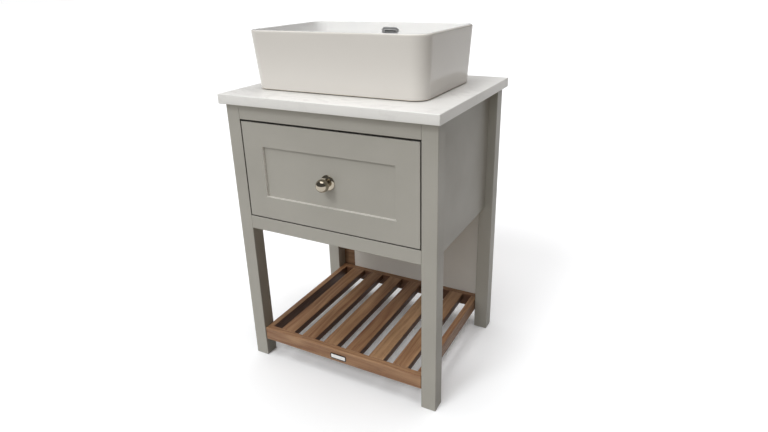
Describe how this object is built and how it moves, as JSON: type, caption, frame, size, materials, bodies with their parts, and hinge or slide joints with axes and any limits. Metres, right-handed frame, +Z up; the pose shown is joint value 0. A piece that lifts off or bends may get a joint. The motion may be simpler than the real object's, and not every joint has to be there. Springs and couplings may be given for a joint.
{
  "type": "vanity unit",
  "caption": "Bathroom vanity unit on square legs: one framed drawer, slatted oak shelf, stone top and a rectangular countertop basin with a click waste.",
  "frame": {"origin": "on the floor, below the middle of the unit's bounding box", "axes": "+Z up, the drawer opens towards -Y, +X to the right as seen from the front"},
  "size_m": [0.62, 0.519, 0.957],
  "materials": {
    "painted_wood": "satin stone grey paint",
    "oiled_oak": "oiled oak",
    "raw_board": "unpainted wood",
    "birch": "clear lacquered birch",
    "marble": "honed white marble, faint grey veins",
    "glaze": "white gloss glaze",
    "chrome": "polished chrome",
    "nickel": "polished nickel",
    "zinc_steel": "zinc plated",
    "brass": "cast brass",
    "rubber": "matte"
  },
  "bodies": {
    "cabinet": {"leg_front_left": "painted_wood", "leg_front_right": "painted_wood", "leg_back_left": "painted_wood", "leg_back_right": "painted_wood", "front_rail_top": "painted_wood", "front_rail_bottom": "painted_wood", "rear_rail": "raw_board", "side_panel_left": "painted_wood", "side_panel_right": "painted_wood", "back_board": "raw_board", "back_panel": "painted_wood", "top_cleat_left": "birch", "top_cleat_right": "birch", "dowels": "birch", "cabinet_screws": "zinc_steel", "countertop": "marble", "basin": "glaze", "basin_seal": "rubber", "overflow_trim": "chrome", "waste_body": "chrome", "waste_washer_top": "rubber", "waste_washer_bottom": "rubber", "waste_backnut": "brass", "click_cartridge": "brass", "shelf_rail_front": "oiled_oak", "shelf_rail_back": "oiled_oak", "shelf_rail_left": "oiled_oak", "shelf_rail_right": "oiled_oak", "shelf_slat_1": "oiled_oak", "shelf_slat_2": "oiled_oak", "shelf_slat_3": "oiled_oak", "shelf_slat_4": "oiled_oak", "shelf_slat_5": "oiled_oak", "shelf_slat_6": "oiled_oak", "shelf_plate": "nickel", "runner_outer_left": "zinc_steel", "runner_outer_right": "zinc_steel"},
    "drawer": {"drawer_stile_left": "painted_wood", "drawer_stile_right": "painted_wood", "drawer_rail_top": "painted_wood", "drawer_rail_bottom": "painted_wood", "drawer_panel": "painted_wood", "drawer_side_left": "birch", "drawer_side_right": "birch", "drawer_box_front": "birch", "drawer_back_left": "birch", "drawer_back_right": "birch", "drawer_bottom": "birch", "drawer_well_left": "birch", "drawer_well_right": "birch", "drawer_well_front": "birch", "drawer_screws": "zinc_steel", "knob": "nickel", "knob_rose": "nickel", "knob_screw": "zinc_steel", "runner_inner_left": "zinc_steel", "runner_inner_right": "zinc_steel"},
    "runner_left": {"runner_middle_left": "zinc_steel"},
    "runner_right": {"runner_middle_right": "zinc_steel"},
    "plug": {"waste_plug": "chrome"}
  },
  "joints": [
    {"name": "drawer_slide", "type": "slide", "parent": "cabinet", "child": "drawer", "axis": [0, -1, 0], "range_m": [0, 0.35]},
    {"name": "runner_left_slide", "type": "slide", "parent": "cabinet", "child": "runner_left", "axis": [0, -1, 0], "range_m": [0, 0.175]},
    {"name": "runner_right_slide", "type": "slide", "parent": "cabinet", "child": "runner_right", "axis": [0, -1, 0], "range_m": [0, 0.175]},
    {"name": "plug_lift", "type": "slide", "parent": "cabinet", "child": "plug", "axis": [0, 0, 1], "range_m": [0, 0.009]}
  ],
  "couplings": [
    {"joint": "runner_left_slide", "follows": "drawer_slide", "ratio": 0.5},
    {"joint": "runner_right_slide", "follows": "drawer_slide", "ratio": 0.5}
  ]
}
